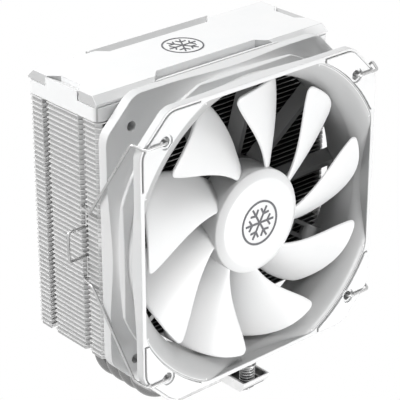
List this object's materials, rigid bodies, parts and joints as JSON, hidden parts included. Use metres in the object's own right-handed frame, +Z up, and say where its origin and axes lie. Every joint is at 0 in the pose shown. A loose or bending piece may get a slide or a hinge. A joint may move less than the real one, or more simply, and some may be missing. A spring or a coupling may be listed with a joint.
{
  "type": "cpu tower cooler",
  "caption": "Single-tower processor cooler: stacked fins on bent heat pipes, a clipped-on axial fan, a white cover and a cross bar with sprung screws.",
  "frame": {"origin": "centre of the contact face, where the base meets the processor", "axes": "+Z up along the pipes; the fan faces -Y; +X to the right as seen from the fan side"},
  "size_m": [0.145, 0.1005, 0.1569],
  "materials": {
    "fin_coat": "satin white powder coat",
    "pipe_nickel": "nickel plated, satin",
    "base_aluminium": "milled",
    "contact_nickel": "nickel plated copper, fine lapping",
    "bar_steel": "black coated steel",
    "screw_steel": "zinc plated",
    "spring_steel": "bright spring wire",
    "cover_white": "fine satin white",
    "badge_grey": "printed grey",
    "frame_white": "satin white",
    "pad_white": "white silicone",
    "blade_white": "satin white",
    "yoke_steel": "drawn steel",
    "magnet": "bonded ferrite",
    "shaft_steel": "ground",
    "sleeve_brass": "sintered",
    "core_steel": "laminated",
    "coil_copper": "enamelled copper wire",
    "board_green": "solder mask",
    "label_white": "blank foil label",
    "clip_wire": "bright spring wire"
  },
  "bodies": {
    "tower": {"cooling_fins": "fin_coat", "heat_pipe_1": "pipe_nickel", "heat_pipe_2": "pipe_nickel", "heat_pipe_3": "pipe_nickel", "heat_pipe_4": "pipe_nickel", "base_block": "base_aluminium", "contact_plate": "contact_nickel", "crossbar": "bar_steel", "crossbar_screws": "screw_steel", "front_spring": "spring_steel", "rear_spring": "spring_steel", "top_cover": "cover_white", "top_plate": "cover_white", "cover_badge": "badge_grey", "cover_screws": "screw_steel", "fan_frame": "frame_white", "front_corner_pads": "pad_white", "rear_corner_pads": "pad_white", "bearing_sleeve": "sleeve_brass", "bearing_retainer": "screw_steel", "stator_core": "core_steel", "stator_coils": "coil_copper", "circuit_board": "board_green", "motor_label": "label_white"},
    "rotor": {"impeller": "blade_white", "hub_badge": "badge_grey", "rotor_yoke": "yoke_steel", "magnet_ring": "magnet", "shaft": "shaft_steel"},
    "left_clip": {"left_clip": "clip_wire"},
    "right_clip": {"right_clip": "clip_wire"},
    "front_ring": {"front_retaining_ring": "bar_steel"},
    "front_screw": {"front_spring_screw": "screw_steel"},
    "rear_ring": {"rear_retaining_ring": "bar_steel"},
    "rear_screw": {"rear_spring_screw": "screw_steel"}
  },
  "joints": [
    {"name": "fan_spin", "type": "hinge", "parent": "tower", "child": "rotor", "pos_m": [0, -0.05, 0.0915], "axis": [0, -1, 0], "continuous": true},
    {"name": "left_clip_swing", "type": "hinge", "parent": "tower", "child": "left_clip", "pos_m": [-0.0525, -0.05, 0.0915], "axis": [0, 0, 1], "range_deg": [0, 20]},
    {"name": "right_clip_swing", "type": "hinge", "parent": "tower", "child": "right_clip", "pos_m": [0.0525, -0.05, 0.0915], "axis": [0, 0, -1], "range_deg": [0, 20]},
    {"name": "front_screw_press", "type": "slide", "parent": "tower", "child": "front_ring", "axis": [0, 0, -1], "range_m": [0, 0.0035], "stiffness_N_per_m": 2000, "springref_m": -0.001, "deforming": ["front_spring"]},
    {"name": "front_screw_turn", "type": "hinge", "parent": "front_ring", "child": "front_screw", "pos_m": [0, -0.0415, 0.0125], "axis": [0, 0, 1], "continuous": true},
    {"name": "rear_screw_press", "type": "slide", "parent": "tower", "child": "rear_ring", "axis": [0, 0, -1], "range_m": [0, 0.0035], "stiffness_N_per_m": 2000, "springref_m": -0.001, "deforming": ["rear_spring"]},
    {"name": "rear_screw_turn", "type": "hinge", "parent": "rear_ring", "child": "rear_screw", "pos_m": [0, 0.0415, 0.0125], "axis": [0, 0, 1], "continuous": true}
  ]
}
